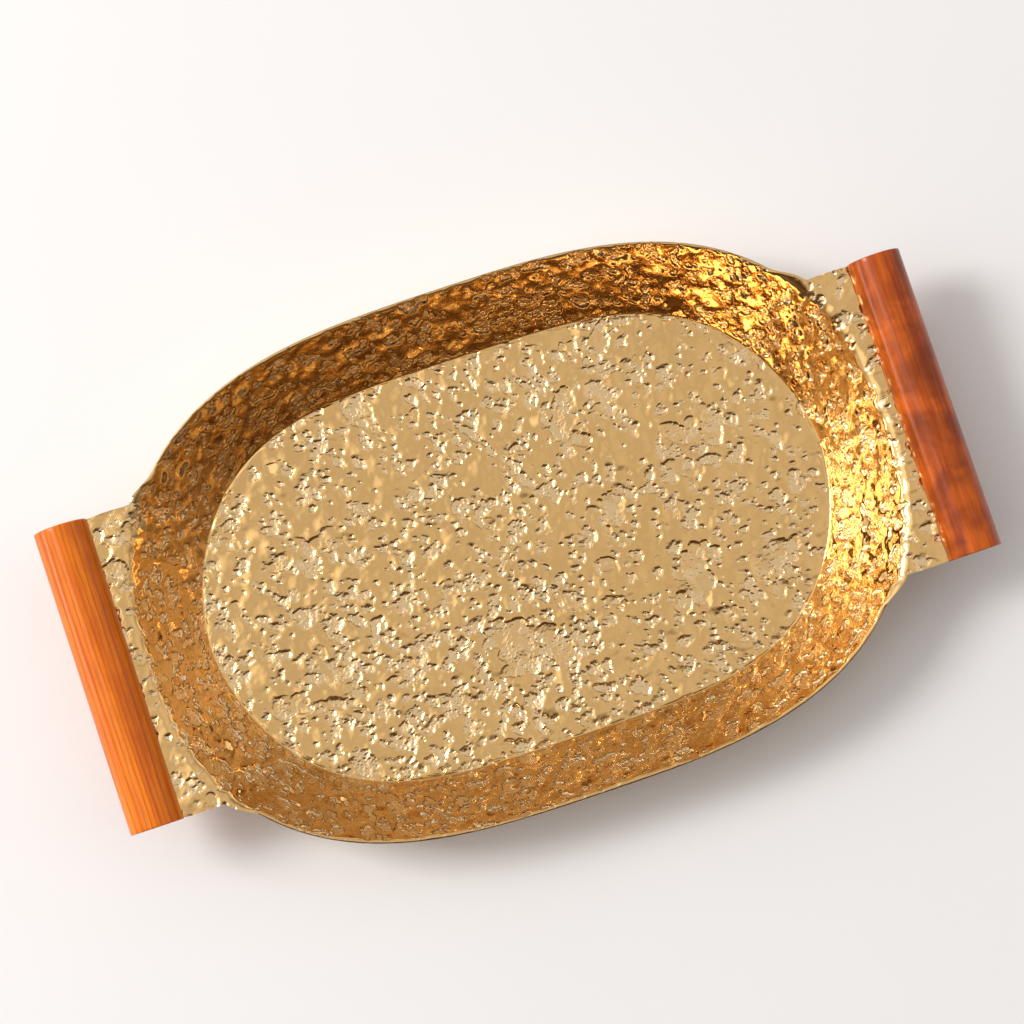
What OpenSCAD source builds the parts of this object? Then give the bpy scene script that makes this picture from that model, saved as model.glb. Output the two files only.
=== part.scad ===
// Oval serving tray in embossed brass sheet, with a turned wooden handle at each end.
//
// The tray is one pressed sheet: a flat floor, a flared wall and, at each end, an ear
// bent out level with the rim. Each handle is a dowel with a sawn slot that takes the
// ear, and two screws driven from below hold it. Millimetres, +X along the tray,
// +Z up, origin under the middle of the floor on the surface that the tray stands on.

/* [Overall] */
// Length over the outer faces of both handles
tray_length = 430; // [428:1:460]
// Height of the rim and of the ears above the table
rim_height = 45; // [38:1:60]
// Thickness of the brass sheet
sheet_t = 1; // [0.8:0.1:1.4]

/* [Basin] */
// Length over the rim, between the ears
rim_length = 363; // [350:1:364]
// Width over the rim
rim_width = 250; // [230:1:260]
// How square the rim's ends are
rim_end_fullness = 3.06; // [2.4:0.02:3.4]
// How square the rim's long sides are
rim_side_fullness = 2.37; // [2:0.01:2.8]
// Length of the flat floor
floor_length = 313; // [290:1:320]
// Width of the flat floor
floor_width = 194; // [180:1:200]
// How square the floor's ends are
floor_end_fullness = 3.9; // [3:0.1:4]
// How square the floor's long sides are
floor_side_fullness = 1.73; // [1.6:0.01:2.2]
// Distance either side of the crease that the bend between floor and wall takes
foot_bend = 2; // [1:0.5:6]

/* [Ears] */
// Horizontal run of the bend from the wall into an ear
lip_run = 5; // [4:0.5:6]
// Height that the same bend climbs
lip_rise = 3; // [2:0.5:4]
// Angle past an ear's root over which the bent lip fades into the plain rim
lip_fade = 6; // [4:1:20]
// Width of an ear where it leaves the rim
ear_root_width = 147; // [130:1:150]
// Width of an ear at its end inside the handle
ear_tip_width = 143; // [130:1:146]
// How far an ear's side edges bow outwards
ear_bow = 1.2; // [0:0.1:3]
// How far an ear runs past the middle of the handle
ear_past_axis = 4; // [3:0.5:6]

/* [Handles] */
// Length of a handle
handle_length = 148; // [148:1:170]
// Diameter of a handle
handle_d = 26; // [24:1:30]
// Bevel that eases a handle's sawn ends
handle_bevel = 0.6; // [0.3:0.1:1.5]
// Height of the slot, which takes the thickness of the embossed sheet
slot_h = 2.2; // [1.6:0.1:3]
// Room left in the slot past the ear's end
slot_room = 0.5; // [0.2:0.1:1]

/* [Screws] */
// Distance between the two screws of a handle
screw_spacing = 100; // [60:1:120]
// Diameter over the thread
screw_d = 4; // [3:0.5:5]
// Length under the head
screw_length = 16; // [12:1:17]
// Diameter of the pan head
screw_head_d = 8; // [7:0.5:9]
// Height of the pan head
screw_head_h = 2.4; // [2:0.1:3]
// Length of the conical point
screw_point = 3; // [2:0.5:5]
// Width across the arms of the cross recess
recess_span = 4.2; // [3:0.1:5]
// Width of one arm of the cross recess
recess_arm = 1; // [0.8:0.1:1.2]
// Depth of the cross recess
recess_depth = 1.5; // [1:0.1:1.8]
// Diameter of the counterbore that sinks the head
counterbore_d = 9.5; // [9.5:0.5:11]
// Depth of the counterbore at the middle of the handle's underside
counterbore_depth = 5; // [4:0.5:6]
// Radial room round a screw in the wood
thread_room = 0.05; // [0.02:0.01:0.1]
// Radial room round a screw in the ear
ear_hole_room = 0.4; // [0.2:0.1:0.8]

/* [Smoothness] */
// Points along the straight end of an ear, from its middle to one corner
end_steps = 4; // [2:1:8]
// Points along one side edge of an ear
side_steps = 3; // [2:1:6]
// Points along the rim from an ear's root to the middle of the long side
rim_steps = 16; // [10:1:24]
// Rings in each bend
bend_steps = 4; // [3:1:6]
// Rings up the straight part of the wall
wall_steps = 2; // [1:1:6]

/* [Hidden] */
$fn = 48;

LEFT = -1;
RIGHT = 1;
FRONT = -1;
REAR = 1;
brass = [0.83, 0.66, 0.36];
stained_wood = [0.62, 0.27, 0.10];
zinc = [0.75, 0.75, 0.73];

handle_x = tray_length / 2 - handle_d / 2;
handle_z = rim_height - sheet_t / 2;
handle_bottom = handle_z - handle_d / 2;
screw_seat = handle_bottom + counterbore_depth;
ear_end = handle_x + ear_past_axis;
solve_steps = 12;
// Share of the lip's curve that the last ring but one reaches beside a plain rim
rim_join = 0.8;
// Extra length that a cutter runs past the surface it opens
cut_over = 1;

// Outlines. An outline is |x/a|^p + |y/b|^q = 1, given as [a, b, p, q], and its radius at
// an angle from the +X axis is found by Newton's steps from a start outside the curve.
rim_outline = [rim_length / 2, rim_width / 2, rim_end_fullness, rim_side_fullness];
floor_outline = [floor_length / 2, floor_width / 2, floor_end_fullness, floor_side_fullness];

function newton(r, x, y, p, q, n) =
    n == 0 ? r
    : newton(r - r * (pow(x * r, p) + pow(y * r, q) - 1) / (p * pow(x * r, p) + q * pow(y * r, q)),
             x, y, p, q, n - 1);
function radius(o, angle) =
    newton(o[0] + o[1], abs(cos(angle)) / o[0], abs(sin(angle)) / o[1], o[2], o[3], solve_steps);

function mix(a, b, t) = a + (b - a) * t;
function smooth(t) = let (u = min(max(t, 0), 1)) u * u * (3 - 2 * u);
function bezier(a, b, c, t) = mix(mix(a, b, t), mix(b, c, t), t);

// An ear's root is where its side edge meets the outer edge of the bent lip.
function root_angle(angle, n) =
    n == 0 ? angle
    : root_angle(asin(ear_root_width / 2 / (radius(rim_outline, angle) + lip_run)), n - 1);
ear_root = root_angle(0, solve_steps);
root_reach = ear_root_width / 2 / tan(ear_root);

// The bent lip is whole along an ear and fades into the plain rim past the ear's root.
function lip(angle) = 1 - smooth((angle - ear_root) / lip_fade);

// Outer edge of the sheet over one quarter, as [angle, radius, 1 on an ear or 0 on the rim].
function polar(x, y, on_ear) = [atan2(y, x), norm([x, y]), on_ear];
function ear_side(t) =
    polar(mix(ear_end, root_reach, t),
          mix(ear_tip_width, ear_root_width, t) / 2 + 4 * ear_bow * t * (1 - t), 1);
function rim_edge(angle) =
    [angle, radius(rim_outline, angle) + lip_run * lip(angle), 0];
edge_quarter = concat(
    [for (i = [0:end_steps - 1]) polar(ear_end, ear_tip_width / 2 * i / end_steps, 1)],
    [for (i = [0:side_steps - 1]) ear_side(i / side_steps)],
    [for (i = [0:rim_steps]) rim_edge(mix(ear_root, 90, i / rim_steps))]);

// Underside of the sheet along one radial cut, as [radius, z] from the floor to the edge.
top_z = rim_height - sheet_t;
function wall_foot(edge) =
    let (foot = radius(floor_outline, edge[0]), top = wall_top(edge))
    [foot, 0] + foot_bend * (top - [foot, 0]) / norm(top - [foot, 0]);
function lip_reach(edge) =
    let (rim = radius(rim_outline, edge[0]), foot = radius(floor_outline, edge[0]))
    lip_rise * (rim - foot) / top_z;
function wall_top(edge) =
    [radius(rim_outline, edge[0]) - (1 - lip(edge[0])) * lip_reach(edge), top_z - lip_rise];
function lip_curve(edge, t) =
    let (rim = radius(rim_outline, edge[0]), full = lip(edge[0]))
    bezier(wall_top(edge), [rim + full * lip_reach(edge), top_z], [rim + full * lip_run, top_z], t);
function foot_curve(edge, t) =
    let (foot = radius(floor_outline, edge[0]))
    bezier([foot - foot_bend, 0], [foot, 0], wall_foot(edge), t);
function cut(edge) = concat(
    [for (i = [0:bend_steps]) foot_curve(edge, i / bend_steps)],
    [for (i = [1:wall_steps]) mix(wall_foot(edge), wall_top(edge), i / (wall_steps + 1))],
    [for (i = [0:bend_steps - 1]) lip_curve(edge, i / bend_steps * rim_join)],
    [lip_curve(edge, mix(rim_join, 1, edge[2])), [edge[1], top_z]]);

// The upper side stands off the underside by the sheet's thickness, square to the cut.
function stand_off(path, i) =
    let (last = len(path) - 1,
         along = i == 0 ? [1, 0] : i == last ? path[i] - path[i - 1] : path[i + 1] - path[i - 1])
    path[i] + sheet_t * [-along[1], along[0]] / norm(along);
function upper(path) = [for (i = [0:len(path) - 1]) stand_off(path, i)];

function on_ray(p, angle) = [p[0] * cos(angle), p[0] * sin(angle), p[1]];
function turned(q) = let (n = len(q) - 1) concat(
    q,
    [for (i = [n - 1:-1:0]) [-q[i][0], q[i][1], q[i][2]]],
    [for (i = [1:n]) [-q[i][0], -q[i][1], q[i][2]]],
    [for (i = [n - 1:-1:1]) [q[i][0], -q[i][1], q[i][2]]]);

module pressed_sheet() {
    under_cuts = [for (edge = edge_quarter) cut(edge)];
    upper_cuts = [for (path = under_cuts) upper(path)];
    rings = len(under_cuts[0]);
    around = 4 * (len(edge_quarter) - 1);
    points = [for (side = [upper_cuts, under_cuts], k = [0:rings - 1])
        each turned([for (i = [0:len(side) - 1]) on_ray(side[i][k], edge_quarter[i][0])])];
    function at(side, k, i) = (side * rings + k) * around + i % around;
    function panel(a, b, c, d) = [[a, b, c], [a, c, d]];
    faces = concat(
        [[for (i = [around - 1:-1:0]) at(0, 0, i)]],
        [[for (i = [0:around - 1]) at(1, 0, i)]],
        [for (k = [0:rings - 2], i = [0:around - 1])
            each panel(at(0, k, i), at(0, k, i + 1), at(0, k + 1, i + 1), at(0, k + 1, i))],
        [for (k = [0:rings - 2], i = [0:around - 1])
            each panel(at(1, k + 1, i), at(1, k + 1, i + 1), at(1, k, i + 1), at(1, k, i))],
        [for (i = [0:around - 1])
            each panel(at(0, rings - 1, i), at(0, rings - 1, i + 1),
                       at(1, rings - 1, i + 1), at(1, rings - 1, i))]);
    polyhedron(points, faces);
}

module at_each_screw() {
    for (side = [LEFT, RIGHT], end = [FRONT, REAR])
        translate([side * handle_x, end * screw_spacing / 2, 0])
            children();
}

module tray_sheet() {
    color(brass)
        difference() {
            pressed_sheet();
            at_each_screw()
                translate([0, 0, top_z - cut_over])
                    cylinder(r = screw_d / 2 + ear_hole_room, h = sheet_t + 2 * cut_over);
        }
}

module dowel() {
    half = handle_length / 2;
    r = handle_d / 2;
    b = handle_bevel;
    translate([handle_x, 0, handle_z])
        rotate([90, 0, 0])
            rotate_extrude($fn = 96)
                polygon([[0, -half], [r - b, -half], [r, b - half], [r, half - b], [r - b, half], [0, half]]);
}

module slot() {
    inner_face = handle_x - handle_d / 2 - cut_over;
    slot_end = ear_end + slot_room;
    length = handle_length + 2 * cut_over;
    translate([inner_face, -length / 2, handle_z - slot_h / 2])
        cube([slot_end - inner_face, length, slot_h]);
}

module screw_hole() {
    translate([0, 0, handle_bottom - cut_over])
        cylinder(d = counterbore_d, h = counterbore_depth + cut_over);
    translate([0, 0, screw_seat - cut_over])
        cylinder(r = screw_d / 2 + thread_room, h = cut_over + screw_length + slot_room);
}

module right_dowel() {
    difference() {
        dowel();
        slot();
        at_each_screw()
            screw_hole();
    }
}

module left_handle() {
    color(stained_wood)
        mirror([1, 0, 0])
            right_dowel();
}

module right_handle() {
    color(stained_wood)
        right_dowel();
}

module handle_screw(side, end) {
    head = screw_head_d / 2;
    core = screw_d / 2;
    tip = screw_length;
    crown = screw_head_h / 2;
    color(zinc)
        translate([side * handle_x, end * screw_spacing / 2, screw_seat])
            difference() {
                rotate_extrude()
                    polygon([[0, -screw_head_h], [head - crown, -screw_head_h], [head, -crown], [head, 0],
                             [core, 0], [core, tip - screw_point], [0, tip]]);
                for (turn = [0, 90])
                    rotate([0, 0, turn])
                        translate([-recess_span / 2, -recess_arm / 2, -screw_head_h - cut_over])
                            cube([recess_span, recess_arm, recess_depth + cut_over]);
            }
}

module left_front_screw() {
    handle_screw(LEFT, FRONT);
}

module left_rear_screw() {
    handle_screw(LEFT, REAR);
}

module right_front_screw() {
    handle_screw(RIGHT, FRONT);
}

module right_rear_screw() {
    handle_screw(RIGHT, REAR);
}

tray_sheet();
left_handle();
right_handle();
left_front_screw();
left_rear_screw();
right_front_screw();
right_rear_screw();
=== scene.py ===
"""The looks of an oval embossed brass tray with a slotted wooden dowel at each end.

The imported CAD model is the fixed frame. This script gives the pressed sheet its cratered
relief, turns and slots the dowels, cuts the screws' threads, dresses every surface with
procedural materials and stands the tray on a plain pale floor under soft studio light.
Lengths are metres in the frame's own axes: +X along the tray, +Z up.
"""

import logging
import math
from collections.abc import Sequence
from dataclasses import dataclass, field
from enum import Enum

import bpy
import numpy as np
from mathutils import Matrix, Vector


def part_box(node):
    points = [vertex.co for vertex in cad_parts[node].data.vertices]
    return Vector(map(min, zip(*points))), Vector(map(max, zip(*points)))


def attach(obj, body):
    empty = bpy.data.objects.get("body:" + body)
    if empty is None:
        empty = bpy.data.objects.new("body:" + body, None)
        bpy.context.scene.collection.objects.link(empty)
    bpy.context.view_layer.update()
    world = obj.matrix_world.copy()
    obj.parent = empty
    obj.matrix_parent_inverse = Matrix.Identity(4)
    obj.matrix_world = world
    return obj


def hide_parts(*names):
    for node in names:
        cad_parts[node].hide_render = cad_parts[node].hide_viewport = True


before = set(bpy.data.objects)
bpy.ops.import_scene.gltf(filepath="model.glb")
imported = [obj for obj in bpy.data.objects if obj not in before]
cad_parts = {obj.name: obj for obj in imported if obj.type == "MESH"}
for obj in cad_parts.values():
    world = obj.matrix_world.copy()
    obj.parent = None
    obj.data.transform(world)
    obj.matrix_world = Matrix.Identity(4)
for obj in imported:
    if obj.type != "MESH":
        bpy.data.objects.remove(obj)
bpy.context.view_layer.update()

log = logging.getLogger("tray")
MM = 0.001
TAU = 2.0 * math.pi

Colour = tuple[float, float, float]


# ---------------------------------------------------------------- small mesh helpers


def smoothstep(t: np.ndarray) -> np.ndarray:
    """Ease from 0 to 1 with flat ends."""
    u = np.clip(t, 0.0, 1.0)
    return u * u * (3.0 - 2.0 * u)


def build_mesh(name: str, points: np.ndarray, faces: np.ndarray, crease: float) -> bpy.types.Object:
    """Make a smooth-shaded mesh object whose edges sharper than an angle stay crisp.

    Args:
        name: Name of the object and of its mesh.
        points: One row of x, y, z for each vertex.
        faces: One row of three or four vertex numbers for each face.
        crease: Angle between faces above which an edge is shaded sharp, in radians.

    Returns:
        The new object, linked to the scene.
    """
    corners = faces.shape[1]
    mesh = bpy.data.meshes.new(name)
    mesh.vertices.add(len(points))
    mesh.vertices.foreach_set("co", points.astype(np.float32).ravel())
    mesh.loops.add(faces.size)
    mesh.loops.foreach_set("vertex_index", faces.astype(np.int32).ravel())
    mesh.polygons.add(len(faces))
    starts = np.arange(0, faces.size, corners, dtype=np.int32)
    mesh.polygons.foreach_set("loop_start", starts)
    mesh.update(calc_edges=True)
    mesh.validate()
    mesh.polygons.foreach_set("use_smooth", np.ones(len(mesh.polygons), dtype=bool))
    mesh.set_sharp_from_angle(angle=crease)
    piece = bpy.data.objects.new(name, mesh)
    bpy.context.scene.collection.objects.link(piece)
    return piece


def set_attribute(piece: bpy.types.Object, name: str, values: np.ndarray) -> None:
    """Store one number for each vertex, for the materials to read."""
    attribute = piece.data.attributes.new(name, "FLOAT", "POINT")
    attribute.data.foreach_set("value", values.astype(np.float32))


def vertex_normals(points: np.ndarray, faces: np.ndarray) -> np.ndarray:
    """Area-weighted unit normal at each vertex of a triangle mesh.

    Args:
        points: One row of x, y, z for each vertex.
        faces: One row of three vertex numbers for each triangle.

    Returns:
        One row of x, y, z for each vertex.
    """
    a, b, c = (points[faces[:, k]] for k in range(3))
    across = np.cross(b - a, c - a)
    normals = np.zeros_like(points)
    for axis in range(3):
        for corner in range(3):
            normals[:, axis] += np.bincount(faces[:, corner], across[:, axis], len(points))
    return normals / np.linalg.norm(normals, axis=1, keepdims=True)


Loop = tuple[np.ndarray, np.ndarray]  # vertex numbers, and each one's share of the way round


def even_loop(numbers: np.ndarray) -> Loop:
    """Closed loop of evenly spaced vertices."""
    return numbers, np.arange(len(numbers)) / len(numbers)


def zip_loops(outer: Loop, inner: Loop) -> np.ndarray:
    """Fill the strip between two closed loops of unlike vertex counts with triangles.

    Args:
        outer: The outer loop, counter-clockwise.
        inner: The inner loop, in step with the outer one.

    Returns:
        Triangles that face up.
    """
    (out, out_at), (into, into_at) = outer, inner
    out_mid, into_mid = (0.5 * (at + np.append(at[1:], 1.0)) for at in (out_at, into_at))
    apex_in = np.searchsorted(into_mid, out_mid) % len(into)
    apex_out = np.searchsorted(out_mid, into_mid, side="right") % len(out)
    from_out = np.stack([out, np.roll(out, -1), into[apex_in]], axis=1)
    from_in = np.stack([np.roll(into, -1), into, out[apex_out]], axis=1)
    return np.concatenate([from_out, from_in])


def grid_faces(rows: np.ndarray) -> np.ndarray:
    """Triangles of a grid of vertex numbers whose rows run outwards and columns turn left.

    Args:
        rows: Vertex numbers, one row for each line of the grid.

    Returns:
        Two triangles for each cell of the grid.
    """
    a, b = rows[:-1, :-1], rows[1:, :-1]
    c, d = rows[1:, 1:], rows[:-1, 1:]
    upper = np.stack([a, b, c], axis=-1).reshape(-1, 3)
    lower = np.stack([a, c, d], axis=-1).reshape(-1, 3)
    return np.concatenate([upper, lower])


# ---------------------------------------------------------------- the embossed relief


@dataclass(frozen=True)
class PitFamily:
    """One size class of the dimples and craters that are pressed into the sheet."""

    density: float  # per square metre
    radius_low: float
    radius_high: float
    depth_share: float  # depth for each unit of radius
    deepest: float
    stretch: float  # longest ratio of length to width
    power: float  # 2 is a round cap, more is flatter with steeper sides
    lobes: int  # most overlapping lobes in one hollow
    lean: float  # how far a flat bottom may tilt, as a share of its depth


@dataclass
class Relief:
    """Height map of the sheet's pattern, laid out over the sheet as if it were unrolled flat.

    The pattern is a gently rolling plain with sharp-edged pits in it: scattered small
    dimples, middling craters and large flat-bottomed hollows of several lobes.
    """

    seed: int = 20
    half_x: float = 245.0 * MM
    half_y: float = 165.0 * MM
    cell: float = 0.25 * MM
    roll_height: float = 0.15 * MM
    roll_length: float = 7.0 * MM
    ripple_height: float = 0.022 * MM
    ripple_length: float = 2.6 * MM
    clump_length: float = 12.0 * MM
    warp: float = 0.18 * MM
    warp_length: float = 1.7 * MM
    crumple: float = 0.055 * MM
    crumple_length: float = 0.8 * MM
    deepest: float = 0.85 * MM
    steep: float = 0.9
    rough_spot: tuple[float, float] = (-45.0 * MM, -58.0 * MM)
    rough_reach: float = 55.0 * MM
    rough_growth: float = 0.25  # how much larger pits are at the rough spot
    tries: float = 1.6  # tries at a pit for each one of a family's density
    chance: float = 0.68  # of a try to leave a pit
    clump_chance: float = 0.12
    rough_chance: float = 0.3
    lobe_stride: float = 1.1  # from lobe to lobe, in radii
    heading_sway: float = 1.3
    turn_sway: float = 0.8
    lobe_shrink: float = 0.6
    oval: float = 0.16  # how far two-sided and three-sided wobbles push an edge
    three_sided: float = 0.12
    lean_limits: tuple[float, float] = (0.15, 1.9)
    families: tuple[PitFamily, ...] = (
        PitFamily(950.0, 3.0 * MM, 6.5 * MM, 0.12, 0.60 * MM, 1.9, 11.0, 4, 0.9),
        PitFamily(8500.0, 1.7 * MM, 3.2 * MM, 0.32, 0.75 * MM, 1.8, 5.0, 2, 0.5),
        PitFamily(30000.0, 0.9 * MM, 2.0 * MM, 0.46, 0.70 * MM, 1.5, 3.4, 1, 0.3),
    )
    height: np.ndarray = field(init=False, repr=False)
    pit: np.ndarray = field(init=False, repr=False)
    brink: np.ndarray = field(init=False, repr=False)

    def __post_init__(self) -> None:
        """Work the whole map out once."""
        self.rng = np.random.default_rng(self.seed)
        self.shape = (int(2 * self.half_y / self.cell), int(2 * self.half_x / self.cell))
        clumps = self.noise(self.clump_length)
        broad, middling, small = (self.press_family(family, clumps) for family in self.families)
        broad, fine = self.warped(broad), self.warped(middling + small)
        total = broad + fine
        total = self.deepest * np.tanh(total / self.deepest)
        rolling = self.roll_height * self.noise(self.roll_length)
        ripples = self.ripple_height * self.noise(self.ripple_length)
        # How deep in a pit each place is; the finish pales the pits with it as a painted highlight, and
        # roughens and bumps them.
        self.pit = np.clip((fine + 0.15 * broad) / (0.4 * self.deepest), 0.0, 1.0)
        # How near a steep pit wall each place is; the finish browns the brinks with it as painted shade.
        slope = np.hypot(*np.gradient(total, self.cell))
        sunk = np.clip(total / self.deepest, 0.0, 1.0)
        self.brink = np.clip(slope / self.steep, 0.0, 1.0) * (1.0 - 0.6 * sunk)
        dented = np.clip((fine + 0.35 * broad) / (0.4 * self.deepest), 0.0, 1.0)
        crumples = self.crumple * self.noise(self.crumple_length) * dented
        self.height = rolling + ripples + crumples - total

    def noise(self, length: float) -> np.ndarray:
        """Smooth random field of unit spread whose hills are about three lengths apart.

        Args:
            length: Scale of the hills.

        Returns:
            The field over the whole map.
        """
        white = self.rng.standard_normal(self.shape)
        fy = np.fft.fftfreq(self.shape[0], self.cell)[:, None]
        fx = np.fft.rfftfreq(self.shape[1], self.cell)[None, :]
        keep = np.exp(-((fx**2 + fy**2) * length**2) * 2.0)
        soft = np.fft.irfft2(np.fft.rfft2(white) * keep, s=self.shape)
        return soft / soft.std()

    def press_family(self, family: PitFamily, clumps: np.ndarray) -> np.ndarray:
        """Press one size class of pits, thicker in the clumps and near the rough spot.

        Args:
            family: The size class.
            clumps: Random field that gathers the pits into groups.

        Returns:
            Depth of the pressed pits over the whole map.
        """
        depth = np.zeros(self.shape)
        area = 4.0 * self.half_x * self.half_y
        for _ in range(int(family.density * area * self.tries)):
            x = self.rng.uniform(-self.half_x, self.half_x)
            y = self.rng.uniform(-self.half_y, self.half_y)
            away = math.hypot(x - self.rough_spot[0], y - self.rough_spot[1]) / self.rough_reach
            rough = math.exp(-away * away)
            row, column = self.cell_at(x, y)
            chance = self.chance + self.clump_chance * clumps[row, column] + self.rough_chance * rough
            draws = self.rng.random(6)
            if draws[0] > chance:
                continue
            size = family.radius_low + (family.radius_high - family.radius_low) * draws[1] ** 2
            size *= 1.0 + self.rough_growth * rough
            self.press_hollow(depth, family, x, y, size, draws[2:])
        return depth

    def press_hollow(self, depth: np.ndarray, family: PitFamily, x: float, y: float,
                     radius: float, draws: np.ndarray) -> None:
        """Press one hollow as a walk of overlapping lobes.

        Args:
            depth: Depth map that the hollow goes into.
            family: The hollow's size class.
            x: Place of the first lobe along the sheet.
            y: Place of the first lobe across the sheet.
            radius: Radius of one lobe before it is stretched.
            draws: Four random numbers that set the hollow's depth, stretch, turn and lobes.
        """
        deep = min(family.deepest, family.depth_share * radius) * (0.6 + 0.8 * draws[0])
        stretch = 1.0 + (family.stretch - 1.0) * draws[1]
        turn = TAU * draws[2]
        heading = turn
        for _ in range(1 + int(family.lobes * draws[3])):
            self.press_lobe(depth, (x, y), radius, stretch, turn, deep, family)
            heading += self.rng.uniform(-self.heading_sway, self.heading_sway)
            x += radius * self.lobe_stride * math.cos(heading)
            y += radius * self.lobe_stride * math.sin(heading)
            turn += self.rng.uniform(-self.turn_sway, self.turn_sway)
            radius *= self.rng.uniform(self.lobe_shrink, 1.0)

    def press_lobe(self, depth: np.ndarray, centre: tuple[float, float], radius: float,
                   stretch: float, turn: float, deep: float, family: PitFamily) -> None:
        """Press one rounded lobe into the depth map, keeping whatever is deeper already.

        Args:
            depth: Depth map that the lobe goes into.
            centre: The lobe's middle.
            radius: Its radius across.
            stretch: Its length for each unit of width.
            turn: Direction of its long axis.
            deep: Its depth.
            family: Its size class, for the profile and the lean of its bottom.
        """
        wobble = self.rng.uniform(-1.0, 1.0, 4)
        reach = int(radius * stretch * 1.5 / self.cell) + 2
        row, column = self.cell_at(*centre)
        bottom, right = min(row + reach, self.shape[0]), min(column + reach, self.shape[1])
        window = (slice(max(row - reach, 0), bottom), slice(max(column - reach, 0), right))
        rows, columns = np.mgrid[window]
        dx = columns * self.cell - self.half_x - centre[0]
        dy = rows * self.cell - self.half_y - centre[1]
        along = (dx * math.cos(turn) + dy * math.sin(turn)) / (radius * stretch)
        across = (dy * math.cos(turn) - dx * math.sin(turn)) / radius
        angle = np.arctan2(across, along)
        edge = 1.0 + self.oval * wobble[0] * np.cos(2 * angle + wobble[1] * 3)
        edge += self.three_sided * wobble[2] * np.sin(3 * angle)
        share = np.clip(np.hypot(along, across) / edge, 0.0, 1.0)
        bowl = 1.0 - share**family.power
        lean = 1.0 + family.lean * (wobble[3] * along + wobble[1] * across)
        depth[window] = np.maximum(depth[window], deep * bowl * np.clip(lean, *self.lean_limits))

    def warped(self, depth: np.ndarray) -> np.ndarray:
        """Shift the map about on a fine scale so that no pit keeps a drawn outline.

        Args:
            depth: The map to shift about.

        Returns:
            The shifted map.
        """
        rows, columns = np.indices(self.shape, dtype=float)
        rows += self.warp / self.cell * self.noise(self.warp_length)
        columns += self.warp / self.cell * self.noise(self.warp_length)
        return self.read(depth, rows, columns)

    def cell_at(self, x: float, y: float) -> tuple[int, int]:
        """Row and column of the map at a place on the sheet.

        Args:
            x: Place along the sheet.
            y: Place across the sheet.

        Returns:
            Row and column, kept inside the map.
        """
        row = int((y + self.half_y) / self.cell)
        column = int((x + self.half_x) / self.cell)
        return min(row, self.shape[0] - 1), min(column, self.shape[1] - 1)

    def read(self, values: np.ndarray, rows: np.ndarray, columns: np.ndarray) -> np.ndarray:
        """Values of a map between its samples, by bilinear blending.

        Args:
            values: The map.
            rows: Row of each place, between whole numbers.
            columns: Column of each place, between whole numbers.

        Returns:
            Value at each place.
        """
        rows = np.clip(rows, 0, self.shape[0] - 1.001)
        columns = np.clip(columns, 0, self.shape[1] - 1.001)
        r, c = rows.astype(int), columns.astype(int)
        fr, fc = rows - r, columns - c
        near = values[r, c] * (1 - fc) + values[r, c + 1] * fc
        far = values[r + 1, c] * (1 - fc) + values[r + 1, c + 1] * fc
        return near * (1 - fr) + far * fr

    def sample(self, values: np.ndarray, flat: np.ndarray) -> np.ndarray:
        """Values of a map at points of the unrolled sheet.

        Args:
            values: The map.
            flat: Places on the unrolled sheet, one row of x, y for each.

        Returns:
            Value at each place.
        """
        rows = (flat[:, 1] + self.half_y) / self.cell
        columns = (flat[:, 0] + self.half_x) / self.cell
        return self.read(values, rows, columns)


# ---------------------------------------------------------------- the pressed sheet


@dataclass(frozen=True)
class Outline:
    """Closed outline |x/a|^p + |y/b|^q = 1."""

    half_length: float
    half_width: float
    end_fullness: float
    side_fullness: float

    def radius(self, angle: np.ndarray) -> np.ndarray:
        """Distance from the middle to the outline at each angle, by Newton's steps.

        Args:
            angle: Directions from the middle.

        Returns:
            Distance in each direction.
        """
        x = np.abs(np.cos(angle)) / self.half_length
        y = np.abs(np.sin(angle)) / self.half_width
        r = np.full_like(x, self.half_length + self.half_width)
        for _ in range(14):
            px = (x * r) ** self.end_fullness
            py = (y * r) ** self.side_fullness
            r = r - r * (px + py - 1.0) / (self.end_fullness * px + self.side_fullness * py)
        return r


@dataclass
class SheetSkin:
    """One side of the sheet as a mesh, before the two sides are joined."""

    points: np.ndarray
    flat: np.ndarray  # the same points on the unrolled sheet
    calm: np.ndarray  # share of the relief that each point takes
    faces: np.ndarray
    loop: np.ndarray  # outer boundary, counter-clockwise


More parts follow.
